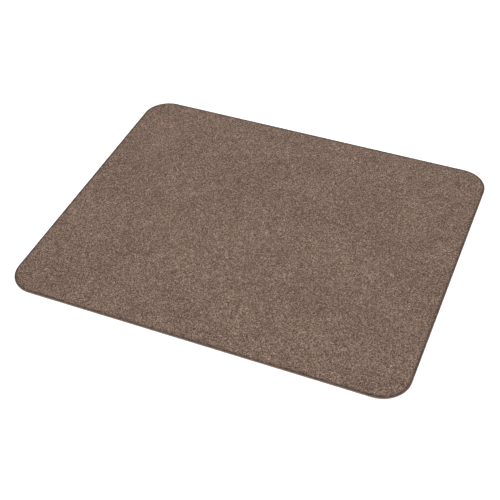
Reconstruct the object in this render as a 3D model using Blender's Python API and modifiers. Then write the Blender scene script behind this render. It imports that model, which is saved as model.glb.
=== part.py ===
"""Chair mat: a flat laminated floor mat with a needle-punched face and a gripping underside.

Units are metres and +Z is up. The origin is on the floor under the middle of the mat. +X runs along
the long side and +Y across the mat. Six sheets of one outline lie flat on each other, and a sealing
bead runs round their cut edge. No piece moves against another.
"""

import math

import bpy

# Outline of the whole mat, over the sealing bead
MAT_LENGTH = 1.200
MAT_WIDTH = 1.000
CORNER_RADIUS = 0.085
CORNER_SEGMENTS = 16

# Thickness of each sheet, from the floor up
GRIP_BACKING_THICKNESS = 0.0011
LOWER_FILM_THICKNESS = 0.00015
FELT_CORE_THICKNESS = 0.0008
UPPER_FILM_THICKNESS = 0.00015
SCRIM_THICKNESS = 0.0003
PILE_THICKNESS = 0.0017
LAYER_CLEARANCE = 0.0002

# Sealing bead round the cut edge
SEAL_WIDTH = 0.0030
SEAL_RECESS = 0.0006  # from the pile's top down to the bead's top
SEAL_FLOOR_GAP = 0.0004  # from the floor up to the bead's underside
SEAL_CLEARANCE = 0.0003  # between the bead and the sheets' cut edges
SEAL_ROUNDING = 0.0008
SEAL_ROUNDING_SEGMENTS = 2

WELD_DISTANCE = 0.00001
SHARP_ANGLE = math.radians(60)


def clear_scene():
    """Remove everything that the file opened with."""
    for leftover in list(bpy.data.objects):
        bpy.data.objects.remove(leftover, do_unlink=True)


def new_collection(name):
    """A collection in the scene that holds the mat's pieces."""
    collection = bpy.data.collections.new(name)
    bpy.context.scene.collection.children.link(collection)
    return collection


def plain_material(name, colour, roughness):
    """A Principled material for a piece that isn't metal."""
    material = bpy.data.materials.new(name)
    material.use_nodes = True
    shader = material.node_tree.nodes["Principled BSDF"]
    shader.inputs["Base Color"].default_value = (*colour, 1.0)
    shader.inputs["Roughness"].default_value = roughness
    shader.inputs["Metallic"].default_value = 0.0
    return material


def brown_pile_material():
    return plain_material("brown_pile", (0.205, 0.140, 0.111), 0.95)


def scrim_material():
    return plain_material("polyester_scrim", (0.62, 0.58, 0.50), 0.85)


def bond_film_material():
    return plain_material("bond_film", (0.70, 0.66, 0.55), 0.45)


def felt_core_material():
    return plain_material("grey_felt", (0.21, 0.20, 0.19), 0.95)


def rubber_material():
    return plain_material("grip_rubber", (0.030, 0.027, 0.025), 0.85)


def seal_material():
    return plain_material("edge_sealant", (0.085, 0.058, 0.046), 0.70)


def corner_arc(centre_x, centre_y, radius, first_angle):
    """Points along a quarter circle, anticlockwise from first_angle."""
    step = math.pi / 2 / CORNER_SEGMENTS
    angles = [first_angle + i * step for i in range(CORNER_SEGMENTS + 1)]
    return [
        (centre_x + radius * math.cos(angle), centre_y + radius * math.sin(angle))
        for angle in angles
    ]


def rounded_rectangle(inset):
    """The mat's outline moved inwards by inset, as points taken anticlockwise."""
    radius = CORNER_RADIUS - inset
    centre_x = MAT_LENGTH / 2 - CORNER_RADIUS
    centre_y = MAT_WIDTH / 2 - CORNER_RADIUS
    corners = ((1, 1), (-1, 1), (-1, -1), (1, -1))
    points = []
    for i, (side_x, side_y) in enumerate(corners):
        points += corner_arc(side_x * centre_x, side_y * centre_y, radius, i * math.pi / 2)
    return points


def add_outline(curve, points):
    """Add one closed straight-sided outline to a flat curve."""
    spline = curve.splines.new("POLY")
    spline.points.add(len(points) - 1)
    for spline_point, (x, y) in zip(spline.points, points):
        spline_point.co = (x, y, 0.0, 1.0)
    spline.use_cyclic_u = True


def flat_piece(collection, name, insets, bottom, thickness, material):
    """A flat piece of the given thickness, with one outline for each inset."""
    curve = bpy.data.curves.new(name, "CURVE")
    curve.dimensions = "2D"
    curve.fill_mode = "BOTH"
    curve.extrude = thickness / 2
    for inset in insets:
        add_outline(curve, rounded_rectangle(inset))
    curve.materials.append(material)
    piece = bpy.data.objects.new(name, curve)
    piece.location.z = bottom + thickness / 2
    collection.objects.link(piece)
    return piece


def layer_sheet(collection, name, bottom, thickness, material):
    """One full sheet of the laminate. Returns the height of its top."""
    inset = SEAL_WIDTH + SEAL_CLEARANCE
    flat_piece(collection, name, [inset], bottom, thickness, material)
    return bottom + thickness


def grip_backing(collection, bottom):
    """Rubber sheet that grips the floor. Its thickness takes in the nubs moulded under it."""
    return layer_sheet(collection, "grip_backing", bottom, GRIP_BACKING_THICKNESS, rubber_material())


def lower_bond_film(collection, bottom):
    """Hot-melt film that bonds the rubber to the core."""
    return layer_sheet(
        collection, "lower_bond_film", bottom, LOWER_FILM_THICKNESS, bond_film_material()
    )


def felt_core(collection, bottom):
    """Firm felt that spreads the load of a castor."""
    return layer_sheet(collection, "felt_core", bottom, FELT_CORE_THICKNESS, felt_core_material())


def upper_bond_film(collection, bottom):
    """Hot-melt film that bonds the core to the scrim and the fibres that pass through it."""
    return layer_sheet(
        collection, "upper_bond_film", bottom, UPPER_FILM_THICKNESS, bond_film_material()
    )


def backing_scrim(collection, bottom):
    """Open woven cloth that the pile is needled into, which keeps it from stretching."""
    return layer_sheet(collection, "backing_scrim", bottom, SCRIM_THICKNESS, scrim_material())


def pile_face(collection, bottom):
    """Low needle-punched pile that the chair rolls on."""
    return layer_sheet(collection, "pile_face", bottom, PILE_THICKNESS, brown_pile_material())


def edge_seal(collection, pile_top):
    """Rounded bead all round the cut edge, which holds the sheets' edges and stops fraying."""
    height = pile_top - SEAL_RECESS - SEAL_FLOOR_GAP
    bead = flat_piece(
        collection, "edge_seal", [0.0, SEAL_WIDTH], SEAL_FLOOR_GAP, height, seal_material()
    )
    weld = bead.modifiers.new("join_caps", "WELD")
    weld.merge_threshold = WELD_DISTANCE
    rounding = bead.modifiers.new("rounding", "BEVEL")
    rounding.limit_method = "ANGLE"
    rounding.angle_limit = SHARP_ANGLE
    rounding.width = min(SEAL_ROUNDING, SEAL_WIDTH / 3)
    rounding.segments = SEAL_ROUNDING_SEGMENTS


def build_mat():
    """Stack the sheets from the floor up, then run the bead round them."""
    collection = new_collection("chair_mat")
    top = -LAYER_CLEARANCE
    for add_layer in (
        grip_backing,
        lower_bond_film,
        felt_core,
        upper_bond_film,
        backing_scrim,
        pile_face,
    ):
        top = add_layer(collection, top + LAYER_CLEARANCE)
    edge_seal(collection, top)


clear_scene()
build_mat()
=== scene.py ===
"""Looks of the chair mat: pile with loose fibres, melted edge bead, inner layers and nubbed rubber.

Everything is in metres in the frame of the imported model, which gives each layer's place and height.
"""

import math
from collections import namedtuple

import bpy
import numpy as np
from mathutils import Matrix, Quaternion, Vector
from mathutils.geometry import tessellate_polygon


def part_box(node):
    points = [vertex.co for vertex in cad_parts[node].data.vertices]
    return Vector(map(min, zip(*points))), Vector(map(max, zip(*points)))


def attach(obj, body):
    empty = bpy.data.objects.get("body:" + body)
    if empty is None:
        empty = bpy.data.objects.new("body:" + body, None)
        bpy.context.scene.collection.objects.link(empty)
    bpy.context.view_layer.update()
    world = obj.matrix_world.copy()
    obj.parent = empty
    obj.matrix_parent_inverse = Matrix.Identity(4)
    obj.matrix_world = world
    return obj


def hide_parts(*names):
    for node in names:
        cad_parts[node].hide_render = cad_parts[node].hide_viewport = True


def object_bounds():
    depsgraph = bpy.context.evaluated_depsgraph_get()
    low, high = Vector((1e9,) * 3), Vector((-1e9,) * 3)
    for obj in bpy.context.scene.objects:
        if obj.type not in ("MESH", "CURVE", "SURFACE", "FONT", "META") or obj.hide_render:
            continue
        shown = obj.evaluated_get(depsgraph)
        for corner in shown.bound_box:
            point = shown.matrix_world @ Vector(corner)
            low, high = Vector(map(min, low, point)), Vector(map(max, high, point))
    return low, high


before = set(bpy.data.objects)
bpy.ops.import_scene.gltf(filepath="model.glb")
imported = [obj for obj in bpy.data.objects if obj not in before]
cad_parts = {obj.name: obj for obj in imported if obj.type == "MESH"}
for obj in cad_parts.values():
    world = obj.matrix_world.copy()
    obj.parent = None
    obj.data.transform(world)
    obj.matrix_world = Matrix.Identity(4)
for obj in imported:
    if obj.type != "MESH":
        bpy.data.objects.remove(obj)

CAD_LOW, CAD_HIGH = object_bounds()
MM = 0.001

# The one size of the outline that the frame's boxes don't give
CORNER_RADIUS = 85 * MM

# Camera, at the photograph's viewing angle
CAMERA_AZIMUTH = 23.40
CAMERA_ELEVATION = 43.26
CAMERA_ROLL = -1.38
CAMERA_DISTANCE = 2.993
CAMERA_LENS_MM = 72.01
CAMERA_SENSOR_MM = 36.0
CAMERA_AIM = (0.0117, -0.1032, 0.0026)

# Pile surface
PILE_SPACING = 2.0 * MM
PILE_EDGE_STEPS = (0.3 * MM, 0.5 * MM, 0.8 * MM, 1.2 * MM)  # columns at both ends, from the edge
CLUMP_HEIGHT = 0.16 * MM
CLUMP_SIZE = 8.0 * MM
SWELL_HEIGHT = 0.10 * MM
SWELL_SIZE = 60.0 * MM
RIM_DROP = 1.0 * MM
RIM_REACH = 1.2 * MM
RIM_SMOOTHED = 0.8  # how much of the clumps and swells is gone at the rim
RIM_DARKENING_REACH = 5.0 * MM  # reach of the darker pile
# Painted shade: the pile's colour is darker in a clump's hollows and lighter on its tops
CLUMP_PAINTED_SHADE = 1.4  # how strongly a clump's height shades it

# Loose fibres on the pile
FIBRE_COUNT = 8300
FIBRE_LENGTH = (7 * MM, 17 * MM)
FIBRE_RADIUS = (0.13 * MM, 0.26 * MM)
FIBRE_CURL = 90.0  # usual bend, in radians to the metre
FIBRE_TWIST_RUN = 10 * MM  # run after which twist turns a fibre as far as its bend does
FIBRE_MARGIN = 3.5 * MM
# Height over the pile and share of the radius at each point along a fibre
FIBRE_LIFT = (-0.15 * MM, 0.10 * MM, 0.20 * MM, 0.20 * MM, 0.10 * MM, -0.15 * MM)
FIBRE_TAPER = (0.0, 0.8, 1.0, 1.0, 0.8, 0.0)
FIBRE_LIFT_SPREAD = (0.6, 1.3)

# Short fibres over the edge
FUZZ_SPACING = 1.3 * MM
FUZZ_LENGTH = (1.0 * MM, 2.6 * MM)
FUZZ_RADIUS = (0.05 * MM, 0.09 * MM)
FUZZ_TAPER = (0.0, 1.0, 0.8, 0.0)
FUZZ_SETBACK = (0.2 * MM, 1.2 * MM)
FUZZ_SPLAY = 0.7
FUZZ_ROOT = 0.1 * MM
FUZZ_ARCH = (0.1, 0.4)  # height of the arch, as a share of the length
FUZZ_ARCH_TURN = 2.4

# Melted bead round the edge
BEAD_CLEARANCE = 0.3 * MM
BEAD_SPACING = 1.2 * MM
BEAD_ROUNDING = 1.1 * MM
BEAD_CORNER_STEPS = 4
BEAD_WAVER = 0.16 * MM
BEAD_WAVER_SIZE = 14 * MM
BEAD_LUMP = 0.10 * MM
BEAD_LUMP_SIZE = 6 * MM
BEAD_SINGED = (0.2, 0.5)  # where the singed crown starts and is full, as shares of the width

# Inner cloth layers
CORE_SPACING = 7.0 * MM
CORE_RELIEF = 0.05 * MM
CORE_CLUMP_SIZE = 22 * MM
SCRIM_SPACING = 4.0 * MM
SCRIM_PITCH = 16.0 * MM
SCRIM_RELIEF = 0.06 * MM

# Rubber backing, with one nub in the middle of each square cell
NUB_SIDES = 8  # one for each corner and side of its cell
NUB_PITCH = 15 * MM
NUB_HEIGHT = 0.4 * MM
NUB_BASE_RADIUS = 3.2 * MM
NUB_TIP_RADIUS = 2.4 * MM
NUB_BORDER = 2.5 * MM  # least distance from a cell to the sheet's edge
LOOP_BEND = 0.003  # how far straight edges are bent apart while the border is tiled

# Studio
FLOOR_SIZE = 60.0
FLOOR_DROP = 0.2 * MM
WORLD_STRENGTH = 0.92
KEY_POWER = 1150.0
KEY_SIZE = 10.0
KEY_PLACE = (1.2, -2.4, 12.4)

# Browns of the pile, as linear red, green and blue
# The first brown lies between the fibres: a darker brown with painted shade in it
PILE_DARK_BROWN_AND_SHADE = (0.044, 0.027, 0.020)
PILE_BODY = (0.082, 0.052, 0.039)
PILE_LIGHT_LOCK = (0.146, 0.095, 0.072)
PILE_DARK_LOCK = (0.027, 0.015, 0.010)
PILE_DARK_FIBRE = (0.024, 0.013, 0.009)
PILE_LIGHT_FIBRE = (0.385, 0.269, 0.212)

# Browns of the bead: its side and crown each lie between two. The side's are lighter than the pile's,
# as painted light that makes up for the shade on the upright wall
BEAD_SIDE_WITH_PAINTED_LIGHT = ((0.130, 0.082, 0.061), (0.215, 0.141, 0.108))
BEAD_LIGHT_END = (0.330, 0.232, 0.182)
BEAD_DARK_END = (0.045, 0.027, 0.020)
BEAD_CROWN = ((0.034, 0.021, 0.016), (0.074, 0.048, 0.037))
BEAD_CROWN_SPECK = (0.150, 0.100, 0.078)

# Loose fibres' shades: piece, colour and how much it varies
FIBRE_SHADES = (
    ("light_fibres", (0.37, 0.262, 0.209), 0.25),
    ("mid_fibres", (0.155, 0.100, 0.075), 0.25),
    ("dark_fibres", (0.026, 0.014, 0.010), 0.30),
)
FUZZ_COLOUR = (0.11, 0.075, 0.058)
FUZZ_COLOUR_SPREAD = 0.3

# Seeds of the random draws. The shades of loose fibre take one each, from the first on
FIRST_FIBRE_SEED = 1
CLUMP_SEED = 11
SWELL_SEED = 12
BEAD_WAVER_SEED = 21
BEAD_SLUMP_SEED = 22
BEAD_LUMP_SEED_STEP = 10
CORE_SEED = 31
FUZZ_SEED = 41


# ---------------------------------------------------------------- outlines and fields


# A rounded rectangle round the origin, with the heights of its underside and top
Layer = namedtuple("Layer", "half_length half_width radius bottom top")


def layer_of(node):
    """A CAD node's outline and heights. Its corners have one centre with the mat's own."""
    low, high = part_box(node)
    half_length = (high[0] - low[0]) / 2
    half_width = (high[1] - low[1]) / 2
    radius = CORNER_RADIUS - (CAD_HIGH[0] - half_length)
    return Layer(half_length, half_width, radius, low[2], high[2])


def depth_inside(x, y, layer):
    """How far a point lies inside a layer's outline, negative outside it."""
    past_x = np.abs(x) - (layer.half_length - layer.radius)
    past_y = np.abs(y) - (layer.half_width - layer.radius)
    outside = np.hypot(np.maximum(past_x, 0), np.maximum(past_y, 0))
    return layer.radius - outside - np.minimum(np.maximum(past_x, past_y), 0)


def outline(layer, spacing):
    """Points along a layer's outline, anticlockwise, and their outward normals."""
    radius = layer.radius
    arc_steps = max(4, round(radius * math.pi / 2 / spacing))
    centre_x = layer.half_length - radius
    centre_y = layer.half_width - radius
    centres = (
        (centre_x, centre_y),
        (-centre_x, centre_y),
        (-centre_x, -centre_y),
        (centre_x, -centre_y),
    )
    points = []
    normals = []
    for corner, centre in enumerate(centres):
        turn = (corner + np.arange(arc_steps + 1) / arc_steps) * math.pi / 2
        arc_normals = np.stack([np.cos(turn), np.sin(turn)], axis=1)
        arc_points = np.array(centre) + radius * arc_normals
        points.append(arc_points)
        normals.append(arc_normals)
        next_centre = centres[(corner + 1) % len(centres)]
        start = arc_points[-1]
        end = np.array(next_centre) + radius * arc_normals[-1]
        steps = max(2, round(float(np.linalg.norm(end - start)) / spacing))
        share = np.arange(1, steps)[:, None] / steps
        points.append(start + (end - start) * share)
        normals.append(np.repeat(arc_normals[-1:], steps - 1, axis=0))
    return np.concatenate(points), np.concatenate(normals)


class RandomField:
    """A seeded random surface whose bumps have one usual size, of unit spread."""

    STEP = 2.0 * MM
    LENGTH = 1.3
    BAND = 0.35  # width of the band of frequencies, as a share of the wanted one

    def __init__(self, bump_size, seed):
        count = round(self.LENGTH / self.STEP)
        rng = np.random.default_rng(seed)
        frequency = np.fft.fftfreq(count, self.STEP)
        radial = np.hypot(frequency[:, None], frequency[None, :])
        wanted = 1 / bump_size
        band = np.exp(-(((radial - wanted) / (self.BAND * wanted)) ** 2))
        noise = np.fft.fft2(rng.standard_normal((count, count)))
        values = np.fft.ifft2(noise * band).real
        self.values = values / values.std()
        self.count = count

    def at(self, x, y):
        """The field's value at each point, between its four nearest samples."""
        column = np.floor(x / self.STEP).astype(int)
        row = np.floor(y / self.STEP).astype(int)
        across = x / self.STEP - column
        along = y / self.STEP - row
        left = column % self.count
        right = (column + 1) % self.count
        near = row % self.count
        far = (row + 1) % self.count
        near_value = self.values[left, near] * (1 - across) + self.values[right, near] * across
        far_value = self.values[left, far] * (1 - across) + self.values[right, far] * across
        return near_value * (1 - along) + far_value * along


# ---------------------------------------------------------------- meshes


def mesh_object(name, vertices, faces, smooth=True):
    """A new object in the scene from points and lists of faces."""
    mesh = bpy.data.meshes.new(name)
    mesh.from_pydata(vertices, [], faces)
    mesh.validate()
    if smooth:
        mesh.shade_smooth()
    made = bpy.data.objects.new(name, mesh)
    bpy.context.scene.collection.objects.link(made)
    return made


def add_attribute(obj, name, values):
    """Store one number for each vertex, for the material to read."""
    attribute = obj.data.attributes.new(name, "FLOAT", "POINT")
    attribute.data.foreach_set("value", np.asarray(values, np.float32))


def points_of(obj):
    """A mesh's points, a row of x, y and z for each."""
    points = np.empty(3 * len(obj.data.vertices), np.float32)
    obj.data.vertices.foreach_get("co", points)
    return points.reshape(-1, 3)


def graded(half, spacing, edge_steps):
    """Positions from -half to half, evenly spaced except for finer steps at both ends."""
    edges = np.cumsum((0.0, *edge_steps))
    inner = half - edges[-1]
    count = max(2, round(2 * inner / spacing))
    middle = np.linspace(-inner, inner, count + 1)
    return np.concatenate([-half + edges[:-1], middle, half - edges[:-1][::-1]])


def sheet_rows(layer, spacing):
    """Rows across a layer: each one's place in Y and its half length."""
    arc_steps = max(3, round(layer.radius * math.pi / 2 / spacing))
    turn = np.arange(arc_steps) / arc_steps * math.pi / 2
    corner_y = -layer.half_width + layer.radius * (1 - np.cos(turn))
    corner_half = layer.half_length - layer.radius * (1 - np.sin(turn))
    straight = layer.half_width - layer.radius
    count = max(2, round(2 * straight / spacing))
    middle_y = np.linspace(-straight, straight, count + 1)
    middle_half = np.full(count + 1, layer.half_length)
    y = np.concatenate([corner_y, middle_y, -corner_y[::-1]])
    half = np.concatenate([corner_half, middle_half, corner_half[::-1]])
    return y, half


def ring_of_grid(rows, columns):
    """Indices of a grid's outer points, anticlockwise."""
    grid = np.arange(rows * columns).reshape(rows, columns)
    return np.concatenate([grid[0, :-1], grid[:-1, -1], grid[-1, :0:-1], grid[:0:-1, 0]])


def underside_faces(ring, rows, columns):
    """A flat underside inside a ring: a strip from left to right for each row, and both ends."""
    right = ring[columns - 1 : columns + rows - 1]
    left = np.concatenate([ring[:1], ring[:-rows:-1]])
    strips = np.stack([left[1:-2], left[2:-1], right[2:-1], right[1:-2]], axis=1)
    near_run = ring[1 : columns - 1]
    near_end = [left[1], right[1], right[0], *near_run[::-1], left[0]]
    far_run = ring[columns + rows - 1 : 2 * columns + rows - 3]
    far_end = [left[-2], left[-1], *far_run[::-1], right[-1], right[-2]]
    return strips.tolist() + [[int(i) for i in end] for end in (near_end, far_end)]


def cloth_slab(name, layer, top_of, spacing, edge_steps=()):
    """A closed sheet with a shaped top, a wall round it and a flat underside."""
    row_y, row_half = sheet_rows(layer, spacing)
    across = graded(layer.half_length, spacing, edge_steps) / layer.half_length
    x = row_half[:, None] * across[None, :]
    y = np.repeat(row_y[:, None], len(across), axis=1)
    rows, columns = x.shape
    top = np.stack([x, y, top_of(x, y)], axis=2).reshape(-1, 3)

    index = np.arange(rows * columns).reshape(rows, columns)
    quads = np.stack(
        [index[:-1, :-1], index[:-1, 1:], index[1:, 1:], index[1:, :-1]], axis=2
    ).reshape(-1, 4)

    ring = ring_of_grid(rows, columns)
    low_ring = rows * columns + np.arange(len(ring))
    low = top[ring].copy()
    low[:, 2] = layer.bottom
    walls = np.stack([ring, low_ring, np.roll(low_ring, -1), np.roll(ring, -1)], axis=1)

    faces = quads.tolist() + walls.tolist() + underside_faces(low_ring, rows, columns)
    return mesh_object(name, np.concatenate([top, low]), faces)


def fibre_faces(steps):
    """One fibre's triangles: a fan at each tip and three sides between them."""
    last_point = 3 * (steps - 2) + 1
    last_ring = last_point - 3
    faces = []
    for third in range(3):
        other = (third + 1) % 3
        faces.append((0, 1 + third, 1 + other))
        faces.append((last_point, last_ring + other, last_ring + third))
        for step in range(steps - 3):
            a = 1 + 3 * step + third
            b = 1 + 3 * step + other
            faces.append((a, b + 3, b))
            faces.append((a, a + 3, b + 3))
    return np.array(faces)


def fibre_mesh(name, spines, radii):
    """Thin closed three-sided fibres. spines holds points as fibre, point, axis."""
    count, steps, _ = spines.shape
    along = np.gradient(spines, axis=1)
    along /= np.linalg.norm(along, axis=2, keepdims=True)
    side = np.cross(along, (0.0, 0.0, 1.0))
    side /= np.linalg.norm(side, axis=2, keepdims=True)
    up = np.cross(side, along)
    per_fibre = 3 * (steps - 2) + 2
    points = np.zeros((count, per_fibre, 3))
    points[:, 0] = spines[:, 0]
    points[:, -1] = spines[:, -1]
    for step in range(1, steps - 1):
        for third in range(3):
            angle = third * 2 * math.pi / 3
            offset = math.cos(angle) * side[:, step] + math.sin(angle) * up[:, step]
            slot = 1 + 3 * (step - 1) + third
            points[:, slot] = spines[:, step] + radii[:, step, None] * offset
    faces = fibre_faces(steps)[None] + per_fibre * np.arange(count)[:, None, None]
    return mesh_object(name, points.reshape(-1, 3), faces.reshape(-1, 3).tolist())


# ---------------------------------------------------------------- material nodes


class Nodes:
    """A material's node tree, with short calls for the nodes used here."""

    DIRECTIONS = 4  # ways that the material's own fibres are laid

    def __init__(self, name):
        self.material = bpy.data.materials.new(name)
        self.material.use_nodes = True
        self.tree = self.material.node_tree
        self.shader = self.tree.nodes["Principled BSDF"]
        self.coords = self.tree.nodes.new("ShaderNodeTexCoord").outputs["Object"]

    def put(self, socket, value):
        """Link or set a socket."""
        if isinstance(value, bpy.types.NodeSocket):
            self.tree.links.new(value, socket)
        elif isinstance(value, tuple) and len(value) == 3 and socket.type == "RGBA":
            socket.default_value = (*value, 1.0)
        else:
            socket.default_value = value

    def noise(self, size, detail=2.0, rough=0.5, warp=0.0, shift=0.0, stretch=(1, 1, 1)):
        """Noise from 0 to 1 whose patches are about size across."""
        mapping = self.tree.nodes.new("ShaderNodeMapping")
        self.put(mapping.inputs["Vector"], self.coords)
        mapping.inputs["Location"].default_value = (shift, shift, shift)
        mapping.inputs["Scale"].default_value = stretch
        node = self.tree.nodes.new("ShaderNodeTexNoise")
        self.put(node.inputs["Vector"], mapping.outputs["Vector"])
        node.inputs["Scale"].default_value = 1 / size
        node.inputs["Detail"].default_value = detail
        node.inputs["Roughness"].default_value = rough
        node.inputs["Distortion"].default_value = warp
        return node.outputs["Fac"]

    def math(self, operation, first, second=0.0):
        """One sum on one or two numbers."""
        node = self.tree.nodes.new("ShaderNodeMath")
        node.operation = operation
        self.put(node.inputs[0], first)
        self.put(node.inputs[1], second)
        return node.outputs[0]

    def span(self, value, low, high, to_low=0.0, to_high=1.0):
        """Carry low..high over to to_low..to_high, smoothly and clamped."""
        node = self.tree.nodes.new("ShaderNodeMapRange")
        node.interpolation_type = "SMOOTHSTEP"
        for socket, given in zip(node.inputs[:5], (value, low, high, to_low, to_high)):
            self.put(socket, given)
        return node.outputs[0]

    def mix(self, share, first, second):
        """A colour between two others. Inputs 6 and 7 and output 2 are the node's colours."""
        node = self.tree.nodes.new("ShaderNodeMix")
        node.data_type = "RGBA"
        self.put(node.inputs[0], share)
        self.put(node.inputs[6], first)
        self.put(node.inputs[7], second)
        return node.outputs[2]

    def times(self, colour, factor):
        """A colour made darker or lighter by a number."""
        node = self.tree.nodes.new("ShaderNodeVectorMath")
        node.operation = "SCALE"
        self.put(node.inputs[0], colour)
        self.put(node.inputs["Scale"], factor)
        return node.outputs[0]

    def lock(self, size, width, shift=0.0):
        """Curling locks: 1 along a lock, falling to 0 beside it."""
        flow = self.noise(size, detail=1.0, warp=1.0, shift=shift)
        from_middle = self.math("ABSOLUTE", self.math("SUBTRACT", flow, 0.5))
        return self.span(from_middle, 0.0, width, 1.0, 0.0)

    def curled(self, size, reach):
        """The surface's coordinates pushed about by up to reach, so that straight lines curl."""
        noise = self.tree.nodes.new("ShaderNodeTexNoise")
        self.put(noise.inputs["Vector"], self.coords)
        noise.inputs["Scale"].default_value = 1 / size
        push = self.vector("SUBTRACT", noise.outputs["Color"], (0.5, 0.5, 0.5))
        push = self.vector("MULTIPLY", push, (2 * reach, 2 * reach, 0.0))
        return self.vector("ADD", self.coords, push)

    def vector(self, operation, first, second):
        """One sum on two vectors."""
        node = self.tree.nodes.new("ShaderNodeVectorMath")
        node.operation = operation
        self.put(node.inputs[0], first)
        self.put(node.inputs[1], second)
        return node.outputs[0]

    def fibres(self, coords, length, width, first_turn, low=0.54, high=0.64):
        """Thin fibres laid in several directions: 1 on a fibre, 0 between them."""
        found = 0.0
        for turn in range(self.DIRECTIONS):
            mapping = self.tree.nodes.new("ShaderNodeMapping")
            mapping.vector_type = "TEXTURE"
            self.put(mapping.inputs["Vector"], coords)
            angle = math.pi * (turn + first_turn) / self.DIRECTIONS
            mapping.inputs["Rotation"].default_value = (0.0, 0.0, angle)
            mapping.inputs["Location"].default_value = (angle, 0.0, 0.0)
            mapping.inputs["Scale"].default_value = (length, width, width)
            noise = self.tree.nodes.new("ShaderNodeTexNoise")
            self.put(noise.inputs["Vector"], mapping.outputs["Vector"])
            noise.inputs["Scale"].default_value = 1.0
            noise.inputs["Detail"].default_value = 0.0
            line = self.span(noise.outputs["Fac"], low, high)
            found = self.math("MAXIMUM", line, found)
        return found

    def attribute(self, name):
        """The number that the mesh stores at each vertex under this name."""
        node = self.tree.nodes.new("ShaderNodeAttribute")
        node.attribute_name = name
        return node.outputs["Fac"]

    def finish(self, colour, roughness, height=None, depth=0.0, gloss=0.5, sheen=0.0):
        """Join the colour, roughness and height to the shader. depth is the bump's, in metres."""
        self.put(self.shader.inputs["Base Color"], colour)
        self.put(self.shader.inputs["Roughness"], roughness)
        self.shader.inputs["Specular IOR Level"].default_value = gloss
        self.shader.inputs["Sheen Weight"].default_value = sheen
        self.shader.inputs["Sheen Roughness"].default_value = 0.5
        self.shader.inputs["Sheen Tint"].default_value = (0.75, 0.60, 0.50, 1.0)
        if height is not None:
            bump = self.tree.nodes.new("ShaderNodeBump")
            bump.inputs["Distance"].default_value = depth
            self.put(bump.inputs["Height"], height)
            self.put(self.shader.inputs["Normal"], bump.outputs["Normal"])
        return self.material


def pile_material():
    """Heathered brown pile: light and dark fibres over a mid brown, in locks, darker towards the rim,
    with painted shade between the fibres and in the clumps' hollows.
    """
    nodes = Nodes("pile")
    curled = nodes.curled(14 * MM, 5 * MM)
    body_fibres = nodes.fibres(curled, 7 * MM, 0.9 * MM, 0.0, 0.50, 0.62)
    light_fibres = nodes.fibres(curled, 7 * MM, 1.0 * MM, 0.35, 0.59, 0.67)
    dark_fibres = nodes.fibres(curled, 8 * MM, 1.0 * MM, 0.7, 0.55, 0.65)
    light_lock = nodes.lock(6.5 * MM, 0.085)
    dark_lock = nodes.lock(6.5 * MM, 0.085, shift=3.7)
    fine = nodes.noise(0.9 * MM, detail=3.0, rough=0.7, shift=1.9)
    mottle = nodes.noise(45 * MM, detail=1.0, shift=5.1)
    broad = nodes.noise(150 * MM, detail=1.0, shift=8.3)
    light = nodes.math("MULTIPLY", light_fibres, nodes.span(light_lock, 0.0, 1.0, 0.30, 1.0))
    dark = nodes.math("MULTIPLY", dark_fibres, nodes.span(dark_lock, 0.0, 1.0, 0.25, 1.0))
    # Between the fibres, a darker brown with painted shade in it
    body = nodes.mix(body_fibres, PILE_DARK_BROWN_AND_SHADE, PILE_BODY)
    body = nodes.times(body, nodes.span(mottle, 0.3, 0.7, 0.91, 1.09))
    body = nodes.mix(nodes.math("MULTIPLY", light_lock, 0.32), body, PILE_LIGHT_LOCK)
    body = nodes.mix(nodes.math("MULTIPLY", dark_lock, 0.30), body, PILE_DARK_LOCK)
    body = nodes.mix(dark, body, PILE_DARK_FIBRE)
    body = nodes.mix(light, body, PILE_LIGHT_FIBRE)
    # Painted shade: darker in the clumps' hollows, lighter on their tops
    shade = nodes.span(nodes.attribute("painted_shade_relief"), -1.6, 1.6, 0.90, 1.09)
    shade = nodes.math("MULTIPLY", shade, nodes.span(fine, 0.25, 0.75, 0.86, 1.14))
    shade = nodes.math("MULTIPLY", shade, nodes.span(broad, 0.3, 0.7, 0.94, 1.06))
    # The pile's colour is darker towards the rim
    shade = nodes.math("MULTIPLY", shade, nodes.span(nodes.attribute("rim"), 0.0, 1.0, 1.0, 0.46))
    rough = nodes.span(fine, 0.2, 0.8, 0.98, 0.86)
    height = nodes.math("ADD", body_fibres, light_fibres)
    return nodes.finish(nodes.times(body, shade), rough, height, 0.25 * MM, gloss=0.12, sheen=0.02)


def fibre_material(name, colour, spread):
    """One shade of loose fibre, which varies a little from place to place."""
    nodes = Nodes(name)
    patch = nodes.noise(6 * MM, detail=2.0, rough=0.7)
    strand = nodes.noise(0.7 * MM, detail=2.0, shift=2.3)
    tone = nodes.times(colour, nodes.span(patch, 0.3, 0.7, 1 - spread, 1 + spread))
    rough = nodes.span(strand, 0.3, 0.7, 0.75, 0.95)
    return nodes.finish(tone, rough, strand, 0.05 * MM, gloss=0.2, sheen=0.03)


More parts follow.
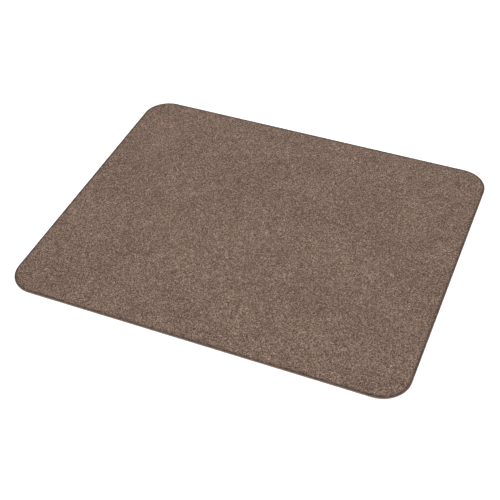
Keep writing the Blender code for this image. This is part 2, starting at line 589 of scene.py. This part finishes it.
def bead_material():
    """Melted edge: singed dark on top, fused fibre ends down its side, lightened with painted light
    for the shade on the upright wall.
    """
    nodes = Nodes("edge_bead")
    smear = nodes.noise(5 * MM, detail=4.0, rough=0.65, warp=0.6)
    speck = nodes.noise(0.8 * MM, detail=2.0, shift=4.4)
    ends = nodes.noise(0.7 * MM, detail=2.0, rough=0.6, shift=7.7, stretch=(1, 1, 0.22))
    # Painted light: the side's browns are lifted to make up for the shade on the upright wall
    side = nodes.mix(smear, *BEAD_SIDE_WITH_PAINTED_LIGHT)
    side = nodes.mix(nodes.span(ends, 0.52, 0.66, 0.0, 0.60), side, BEAD_LIGHT_END)
    side = nodes.mix(nodes.span(ends, 0.34, 0.48, 0.75, 0.0), side, BEAD_DARK_END)
    crown = nodes.mix(smear, *BEAD_CROWN)
    crown = nodes.mix(nodes.span(speck, 0.60, 0.74, 0.0, 0.45), crown, BEAD_CROWN_SPECK)
    colour = nodes.mix(nodes.attribute("singed"), side, crown)
    rough = nodes.span(smear, 0.3, 0.7, 0.84, 0.62)
    height = nodes.math("ADD", smear, nodes.math("ADD", ends, nodes.math("MULTIPLY", speck, 0.4)))
    return nodes.finish(colour, rough, height, 0.35 * MM, gloss=0.25)


def felt_material():
    """Grey recycled felt with flecks."""
    nodes = Nodes("grey_felt_core")
    fleck = nodes.lock(7 * MM, 0.05, shift=0.6)
    fine = nodes.noise(1.1 * MM, detail=3.0, rough=0.7)
    colour = nodes.mix(fine, (0.14, 0.135, 0.13), (0.27, 0.26, 0.25))
    colour = nodes.mix(nodes.math("MULTIPLY", fleck, 0.5), colour, (0.42, 0.40, 0.37))
    return nodes.finish(colour, nodes.span(fine, 0.2, 0.8, 0.98, 0.85), fine, 0.3 * MM, sheen=0.2)


def scrim_material():
    """Off-white woven polyester: yarns along both directions, with painted shade between them."""
    nodes = Nodes("woven_scrim")
    painted_shade_relief = nodes.attribute("painted_shade_relief")
    fine = nodes.noise(0.8 * MM, detail=2.0)
    # Painted shade: darker where the weave dips, lighter on its crests
    colour = nodes.mix(nodes.span(painted_shade_relief, -0.6, 0.6), (0.34, 0.31, 0.26), (0.68, 0.64, 0.56))
    colour = nodes.times(colour, nodes.span(fine, 0.3, 0.7, 0.9, 1.08))
    return nodes.finish(colour, nodes.span(fine, 0.2, 0.8, 0.9, 0.75), fine, 0.1 * MM)


def film_material():
    """Hot-melt film: pale, waxy and uneven where it has melted."""
    nodes = Nodes("hot_melt_film")
    flow = nodes.noise(18 * MM, detail=3.0, rough=0.6, warp=1.2)
    fine = nodes.noise(2 * MM, detail=2.0, shift=1.3)
    colour = nodes.mix(flow, (0.60, 0.55, 0.43), (0.76, 0.73, 0.63))
    rough = nodes.span(flow, 0.3, 0.7, 0.32, 0.55)
    return nodes.finish(colour, rough, nodes.math("ADD", flow, fine), 0.1 * MM)


def rubber_material():
    """Black moulded rubber: fine grain, a faint bloom, dust in patches and nubs rubbed grey."""
    nodes = Nodes("nubbed_rubber")
    grain = nodes.noise(0.6 * MM, detail=2.0)
    pebble = nodes.noise(2.2 * MM, detail=2.0, rough=0.6, shift=3.1)
    bloom = nodes.noise(90 * MM, detail=4.0, rough=0.6, shift=2.0)
    worn = nodes.attribute("worn")
    colour = nodes.mix(nodes.span(bloom, 0.35, 0.70), (0.017, 0.0155, 0.0145), (0.028, 0.026, 0.024))
    colour = nodes.mix(nodes.span(pebble, 0.62, 0.80, 0.0, 0.30), colour, (0.070, 0.064, 0.057))
    colour = nodes.mix(nodes.span(worn, 0.5, 1.0, 0.0, 0.75), colour, (0.082, 0.077, 0.071))
    colour = nodes.times(colour, nodes.span(grain, 0.3, 0.7, 0.85, 1.15))
    rough = nodes.span(grain, 0.3, 0.7, 0.92, 0.74)
    rough = nodes.math("SUBTRACT", rough, nodes.math("MULTIPLY", worn, 0.15))
    height = nodes.math("ADD", grain, nodes.math("MULTIPLY", pebble, 1.5))
    return nodes.finish(colour, rough, height, 0.12 * MM)


def floor_material():
    """Plain near-white studio floor."""
    nodes = Nodes("studio_floor")
    cloud = nodes.noise(0.5, detail=2.0)
    colour = nodes.mix(cloud, (0.93, 0.93, 0.93), (0.95, 0.95, 0.95))
    return nodes.finish(colour, nodes.span(cloud, 0.2, 0.8, 0.85, 0.95))


# ---------------------------------------------------------------- pile


class PileShape:
    """The pile's surface: clumps and slow swells that sink towards the rim."""

    def __init__(self):
        self.layer = layer_of("pile_face")
        self.clumps = RandomField(CLUMP_SIZE, CLUMP_SEED)
        self.swells = RandomField(SWELL_SIZE, SWELL_SEED)

    def clump(self, x, y):
        """How far up or down in a clump each place is, from -1 to 1."""
        return np.tanh(self.clumps.at(x, y))

    def rim(self, x, y, reach):
        """1 on the outline and less inside it, falling off over reach."""
        return np.exp(-np.maximum(depth_inside(x, y, self.layer), 0) / reach)

    def height(self, x, y):
        rim = self.rim(x, y, RIM_REACH)
        uneven = CLUMP_HEIGHT * self.clump(x, y) + SWELL_HEIGHT * self.swells.at(x, y)
        return self.layer.top + uneven * (1 - RIM_SMOOTHED * rim) - RIM_DROP * rim


def declare_layer(piece, node):
    """Attach a layer of cloth to the root and hide the CAD node that it replaces."""
    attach(piece, "root")
    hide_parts(node)


def make_pile(shape):
    """The pile's surface. Its material reads the clumps, for painted shade, and the rim from two
    attributes.
    """
    pile = cloth_slab("pile_surface", shape.layer, shape.height, PILE_SPACING, PILE_EDGE_STEPS)
    x, y, _ = points_of(pile).T
    # The clumps' heights, which the material turns into painted shade
    add_attribute(pile, "painted_shade_relief", CLUMP_PAINTED_SHADE * shape.clump(x, y))
    add_attribute(pile, "rim", shape.rim(x, y, RIM_DARKENING_REACH))
    pile.data.materials.append(pile_material())
    declare_layer(pile, "pile_face")


def random_places(rng, count, layer, margin):
    """Random points inside a layer's outline, at least margin from its edge."""
    x = rng.uniform(-layer.half_length, layer.half_length, 2 * count)
    y = rng.uniform(-layer.half_width, layer.half_width, 2 * count)
    keep = depth_inside(x, y, layer) > margin
    return x[keep][:count], y[keep][:count]


def curly_paths(rng, x, y, length, steps):
    """Points along a smoothly curling line through each place."""
    count = len(x)
    heading = rng.uniform(0, 2 * math.pi, count)
    bend = rng.normal(0, FIBRE_CURL, count)
    twist = rng.normal(0, FIBRE_CURL / FIBRE_TWIST_RUN, count)
    run = length[:, None] * np.linspace(-0.5, 0.5, steps)[None, :]
    angle = heading[:, None] + bend[:, None] * run + twist[:, None] * run**2
    step = length[:, None] / (steps - 1)
    path_x = np.cumsum(np.cos(angle) * step, axis=1)
    path_y = np.cumsum(np.sin(angle) * step, axis=1)
    path_x += x[:, None] - path_x.mean(axis=1, keepdims=True)
    path_y += y[:, None] - path_y.mean(axis=1, keepdims=True)
    return path_x, path_y


def make_fibres(name, seed, shape, colour, spread):
    """Loose fibres of one shade, lying on the pile with their ends sunk in it."""
    rng = np.random.default_rng(seed)
    x, y = random_places(rng, FIBRE_COUNT, shape.layer, FIBRE_MARGIN)
    length = rng.uniform(*FIBRE_LENGTH, len(x))
    path_x, path_y = curly_paths(rng, x, y, length, len(FIBRE_LIFT))
    lift = np.array(FIBRE_LIFT) * rng.uniform(*FIBRE_LIFT_SPREAD, (len(x), 1))
    spines = np.stack([path_x, path_y, shape.height(path_x, path_y) + lift], axis=2)
    radii = rng.uniform(*FIBRE_RADIUS, (len(x), 1)) * np.array(FIBRE_TAPER)
    fibres = fibre_mesh(name, spines, radii)
    fibres.data.materials.append(fibre_material(name, colour, spread))
    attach(fibres, "root")
    return fibres


def make_edge_fuzz(shape):
    """Short fibres that lean out over the melted edge."""
    rng = np.random.default_rng(FUZZ_SEED)
    points, normals = outline(shape.layer, FUZZ_SPACING)
    count = len(points)
    points = points - normals * rng.uniform(*FUZZ_SETBACK, (count, 1))
    sideways = np.stack([-normals[:, 1], normals[:, 0]], axis=1)
    lean = normals + sideways * rng.normal(0, FUZZ_SPLAY, (count, 1))
    length = rng.uniform(*FUZZ_LENGTH, (count, 1))
    share = np.linspace(0, 1, len(FUZZ_TAPER))
    plan = points[:, None, :] + lean[:, None, :] * (length * share[None, :])[:, :, None]
    base = shape.height(points[:, 0], points[:, 1])
    arch = length * rng.uniform(*FUZZ_ARCH, (count, 1)) * np.sin(share * FUZZ_ARCH_TURN)[None, :]
    z = base[:, None] - FUZZ_ROOT + arch
    spines = np.concatenate([plan, z[:, :, None]], axis=2)
    radii = rng.uniform(*FUZZ_RADIUS, (count, 1)) * np.array(FUZZ_TAPER)
    fuzz = fibre_mesh("edge_fuzz", spines, radii)
    fuzz.data.materials.append(fibre_material("edge_fuzz", FUZZ_COLOUR, FUZZ_COLOUR_SPREAD))
    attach(fuzz, "root")
    return fuzz


def make_felt_face():
    """The pile with everything that lies on it."""
    shape = PileShape()
    fibres = [
        make_fibres(name, seed, shape, colour, spread)
        for seed, (name, colour, spread) in enumerate(FIBRE_SHADES, FIRST_FIBRE_SEED)
    ]
    fuzz = make_edge_fuzz(shape)
    make_pile(shape)


# ---------------------------------------------------------------- bead


def bead_profile(width, low, high):
    """The bead's cross-section from its outer foot, as inward distance and height."""
    centres = (
        (BEAD_ROUNDING, low + BEAD_ROUNDING, 1.0),
        (width - BEAD_ROUNDING, low + BEAD_ROUNDING, 1.5),
        (width - BEAD_ROUNDING, high - BEAD_ROUNDING, 2.0),
        (BEAD_ROUNDING, high - BEAD_ROUNDING, 2.5),
    )
    profile = []
    for inward, z, first in centres:
        for step in range(BEAD_CORNER_STEPS + 1):
            angle = (first + 0.5 * step / BEAD_CORNER_STEPS) * math.pi
            profile.append(
                (inward + BEAD_ROUNDING * math.cos(angle), z + BEAD_ROUNDING * math.sin(angle))
            )
    return np.array(profile)


def uneven_run(points, seed):
    """How far the bead falls back at each point along it: slow wavers and small lumps."""
    x, y = points.T
    waver = 1 + np.tanh(RandomField(BEAD_WAVER_SIZE, seed).at(x, y))
    lump = 1 + np.tanh(RandomField(BEAD_LUMP_SIZE, seed + BEAD_LUMP_SEED_STEP).at(x, y))
    return BEAD_WAVER * waver + BEAD_LUMP * lump


def singed_share(across, rise):
    """How singed the bead is: fully on its crown and inner side, not at all on its outer side."""
    start, full = BEAD_SINGED
    return np.clip((across - start) / (full - start), 0, 1) * np.clip(2 * rise, 0, 1)


def make_bead():
    """The melted bead, wavering a little along the edge as it was pressed."""
    layer = layer_of("edge_seal")
    width = layer.half_length - layer_of("pile_face").half_length - BEAD_CLEARANCE
    points, normals = outline(layer, BEAD_SPACING)
    profile = bead_profile(width, layer.bottom, layer.top)
    across = profile[:, 0] / width
    rise = (profile[:, 1] - layer.bottom) / (layer.top - layer.bottom)
    waver = uneven_run(points, BEAD_WAVER_SEED)
    slump = uneven_run(points, BEAD_SLUMP_SEED)
    inward = profile[None, :, 0] + waver[:, None] * (1 - across[None, :])
    z = profile[None, :, 1] - slump[:, None] * rise[None, :]
    plan = points[:, None, :] - normals[:, None, :] * inward[:, :, None]
    vertices = np.concatenate([plan, z[:, :, None]], axis=2).reshape(-1, 3)
    index = np.arange(len(vertices)).reshape(len(points), len(profile))
    onward = np.roll(index, -1, axis=0)
    quads = np.stack(
        [index, np.roll(index, -1, axis=1), np.roll(onward, -1, axis=1), onward], axis=2
    )
    bead = mesh_object("edge_bead", vertices, quads.reshape(-1, 4).tolist())
    add_attribute(bead, "singed", np.tile(singed_share(across, rise), len(points)))
    bead.data.materials.append(bead_material())
    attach(bead, "root")
    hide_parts("edge_seal")


# ---------------------------------------------------------------- inner layers


def make_core():
    """The felt core, whose top is slightly lumpy."""
    layer = layer_of("felt_core")
    lumps = RandomField(CORE_CLUMP_SIZE, CORE_SEED)

    def height(x, y):
        return layer.top + CORE_RELIEF * np.tanh(lumps.at(x, y))

    core = cloth_slab("felt_core_pad", layer, height, CORE_SPACING)
    core.data.materials.append(felt_material())
    declare_layer(core, "felt_core")


def weave(x, y):
    """Plain weave from -1 to 1: yarns along X and Y pass over and under each other."""
    along = np.cos(math.pi * x / SCRIM_PITCH)
    across = np.cos(math.pi * y / SCRIM_PITCH)
    return along * across


def make_scrim():
    """The woven scrim, whose top rises and falls with its yarns."""
    layer = layer_of("backing_scrim")

    def height(x, y):
        return layer.top + SCRIM_RELIEF * weave(x, y)

    scrim = cloth_slab("backing_scrim_weave", layer, height, SCRIM_SPACING)
    x, y, _ = points_of(scrim).T
    # The weave's heights, which the material turns into painted shade
    add_attribute(scrim, "painted_shade_relief", weave(x, y))
    scrim.data.materials.append(scrim_material())
    declare_layer(scrim, "backing_scrim")


def finish_films():
    """The CAD's own film sheets keep their shape and get a film's look."""
    material = film_material()
    for node in ("lower_bond_film", "upper_bond_film"):
        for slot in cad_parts[node].material_slots:
            slot.material = material


# ---------------------------------------------------------------- rubber backing


def nub_cells(layer):
    """Square cells that lie wholly inside a layer: a grid of centres and which are kept."""
    across = round(2 * layer.half_length / NUB_PITCH)
    deep = round(2 * layer.half_width / NUB_PITCH)
    x = (np.arange(across) - (across - 1) / 2) * NUB_PITCH
    y = (np.arange(deep) - (deep - 1) / 2) * NUB_PITCH
    grid_x, grid_y = np.meshgrid(x, y)
    far_x = np.abs(grid_x) + NUB_PITCH / 2
    far_y = np.abs(grid_y) + NUB_PITCH / 2
    kept = depth_inside(far_x, far_y, layer) > NUB_BORDER
    return grid_x, grid_y, kept


def bent(point, bend):
    """A point of an outline in millimetres, with the outline's straight runs bent outwards."""
    x = point[0] / CAD_HIGH[0]
    y = point[1] / CAD_HIGH[1]
    bent_x = point[0] * (1 + bend * (1 - y * y))
    bent_y = point[1] * (1 + bend * (1 - x * x))
    return Vector((bent_x / MM, bent_y / MM, 0.0))


class NubbedSheet:
    """The rubber backing's points and faces, built up from its underside."""

    FIRST_CORNER = -135  # direction in degrees from a cell's middle
    # A cell's corners and the middles of its sides, in half cells from its first corner
    AROUND_CELL = ((0, 0), (1, 0), (2, 0), (2, 1), (2, 2), (1, 2), (0, 2), (0, 1))

    def __init__(self, layer):
        self.layer = layer
        self.floor_side = layer.bottom + NUB_HEIGHT
        self.grid_x, self.grid_y, self.kept = nub_cells(layer)
        self.vertices = []
        self.faces = []
        self.tips = []
        self.lattice = {}
        self.open_edges = {}

    def lattice_point(self, column, row):
        """A point that cells share, half a cell from the next one. It is made once."""
        if (column, row) not in self.lattice:
            self.lattice[column, row] = len(self.vertices)
            x = self.grid_x[0, 0] + (column - 1) * NUB_PITCH / 2
            y = self.grid_y[0, 0] + (row - 1) * NUB_PITCH / 2
            self.vertices.append((x, y, self.floor_side))
        return self.lattice[column, row]

    def ring(self, x, y, radius, z):
        """The points of a ring round a nub, from the cell's first corner on."""
        first = len(self.vertices)
        for side in range(NUB_SIDES):
            angle = math.radians(self.FIRST_CORNER + 360 / NUB_SIDES * side)
            self.vertices.append((x + radius * math.cos(angle), y + radius * math.sin(angle), z))
        return list(range(first, first + NUB_SIDES))

    def count_edge(self, start, end):
        """An edge with a cell on each side is met twice, and stays open if it is met once."""
        key = (min(start, end), max(start, end))
        self.open_edges[key] = None if key in self.open_edges else (start, end)

    def add_cell(self, row, column):
        """One square cell with its nub."""
        x = self.grid_x[row, column]
        y = self.grid_y[row, column]
        outer = [self.lattice_point(2 * column + i, 2 * row + j) for i, j in self.AROUND_CELL]
        base = self.ring(x, y, NUB_BASE_RADIUS, self.floor_side)
        tip = self.ring(x, y, NUB_TIP_RADIUS, self.layer.bottom)
        for i in range(NUB_SIDES):
            j = (i + 1) % NUB_SIDES
            self.faces.append((outer[i], base[i], base[j], outer[j]))
            self.faces.append((base[i], tip[i], tip[j], base[j]))
            self.count_edge(outer[i], outer[j])
        self.faces.append(tuple(reversed(tip)))
        self.tips += tip

    def cells_outline(self):
        """The loop of open edges round all the cells."""
        follow = dict(edge for edge in self.open_edges.values() if edge)
        loop = [next(iter(follow))]
        while follow[loop[-1]] != loop[0]:
            loop.append(follow[loop[-1]])
        return loop

    def add_loop(self, points, z):
        """A loop of new points at one height."""
        first = len(self.vertices)
        self.vertices += [(x, y, z) for x, y in points]
        return list(range(first, len(self.vertices)))

    def fill_between(self, rim, hole):
        """Triangles that face down, between the sheet's rim and the cells' outline."""
        # Bent apart, the two loops have no three points in line, so no triangle here is empty
        loops = [
            [bent(self.vertices[i], -LOOP_BEND / 2) for i in rim],
            [bent(self.vertices[i], LOOP_BEND) for i in hole],
        ]
        flat = rim + hole
        for triangle in tessellate_polygon(loops):
            corners = [flat[i] for i in triangle]
            a, b, c = (Vector(self.vertices[i]) for i in corners)
            facing_up = (b - a).cross(c - a).z > 0
            self.faces.append(tuple(reversed(corners)) if facing_up else tuple(corners))

    def build(self):
        """Cells with nubs, the border round them, the sheet's wall and its flat top."""
        for row, column in zip(*np.nonzero(self.kept)):
            self.add_cell(row, column)
        points, _ = outline(self.layer, NUB_PITCH / 2)
        hole = self.cells_outline()
        rim = self.add_loop(points, self.floor_side)
        self.fill_between(rim, hole)
        upper = self.add_loop(points, self.layer.top)
        for i in range(len(points)):
            j = (i + 1) % len(points)
            self.faces.append((rim[i], rim[j], upper[j], upper[i]))
        self.faces.append(tuple(upper))


def make_backing():
    """Rubber sheet whose underside is tiled with cells, each with one low round nub."""
    sheet = NubbedSheet(layer_of("grip_backing"))
    sheet.build()
    backing = mesh_object("nubbed_backing", sheet.vertices, sheet.faces, smooth=False)
    worn = np.zeros(len(sheet.vertices))
    worn[sheet.tips] = 1.0
    add_attribute(backing, "worn", worn)
    backing.data.materials.append(rubber_material())
    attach(backing, "root")
    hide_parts("grip_backing")


# ---------------------------------------------------------------- studio


def make_camera():
    """A camera that looks at its aim from the given angles, turned a little about its own axis."""
    azimuth = math.radians(CAMERA_AZIMUTH)
    elevation = math.radians(CAMERA_ELEVATION)
    back = Vector(
        (
            math.sin(azimuth) * math.cos(elevation),
            -math.cos(azimuth) * math.cos(elevation),
            math.sin(elevation),
        )
    )
    data = bpy.data.cameras.new("camera")
    data.lens = CAMERA_LENS_MM
    data.sensor_width = CAMERA_SENSOR_MM
    camera = bpy.data.objects.new("camera", data)
    camera.location = Vector(CAMERA_AIM) + back * CAMERA_DISTANCE
    camera.rotation_mode = "QUATERNION"
    level = (-back).to_track_quat("-Z", "Y")
    camera.rotation_quaternion = level @ Quaternion((0, 0, 1), math.radians(CAMERA_ROLL))
    bpy.context.scene.collection.objects.link(camera)
    bpy.context.scene.camera = camera


def make_floor():
    """A wide floor, set a little under the nubs' tips."""
    half = FLOOR_SIZE / 2
    corners = [(-half, -half, 0), (half, -half, 0), (half, half, 0), (-half, half, 0)]
    floor = mesh_object("floor", corners, [(0, 1, 2, 3)], smooth=False)
    floor.location.z = -FLOOR_DROP
    floor.data.materials.append(floor_material())


def make_lights():
    """An even white surrounding and one broad soft light from above."""
    world = bpy.data.worlds.new("studio")
    world.use_nodes = True
    background = world.node_tree.nodes["Background"]
    background.inputs["Color"].default_value = (1.0, 1.0, 1.0, 1.0)
    background.inputs["Strength"].default_value = WORLD_STRENGTH
    bpy.context.scene.world = world
    data = bpy.data.lights.new("key", "AREA")
    data.shape = "DISK"
    data.size = KEY_SIZE
    data.energy = KEY_POWER
    key = bpy.data.objects.new("key", data)
    key.location = KEY_PLACE
    key.rotation_mode = "QUATERNION"
    key.rotation_quaternion = (-Vector(KEY_PLACE)).to_track_quat("-Z", "Y")
    bpy.context.scene.collection.objects.link(key)
    bpy.context.scene.view_settings.view_transform = "Standard"


make_camera()
make_floor()
make_lights()
make_felt_face()
make_bead()
make_core()
make_scrim()
make_backing()
finish_films()
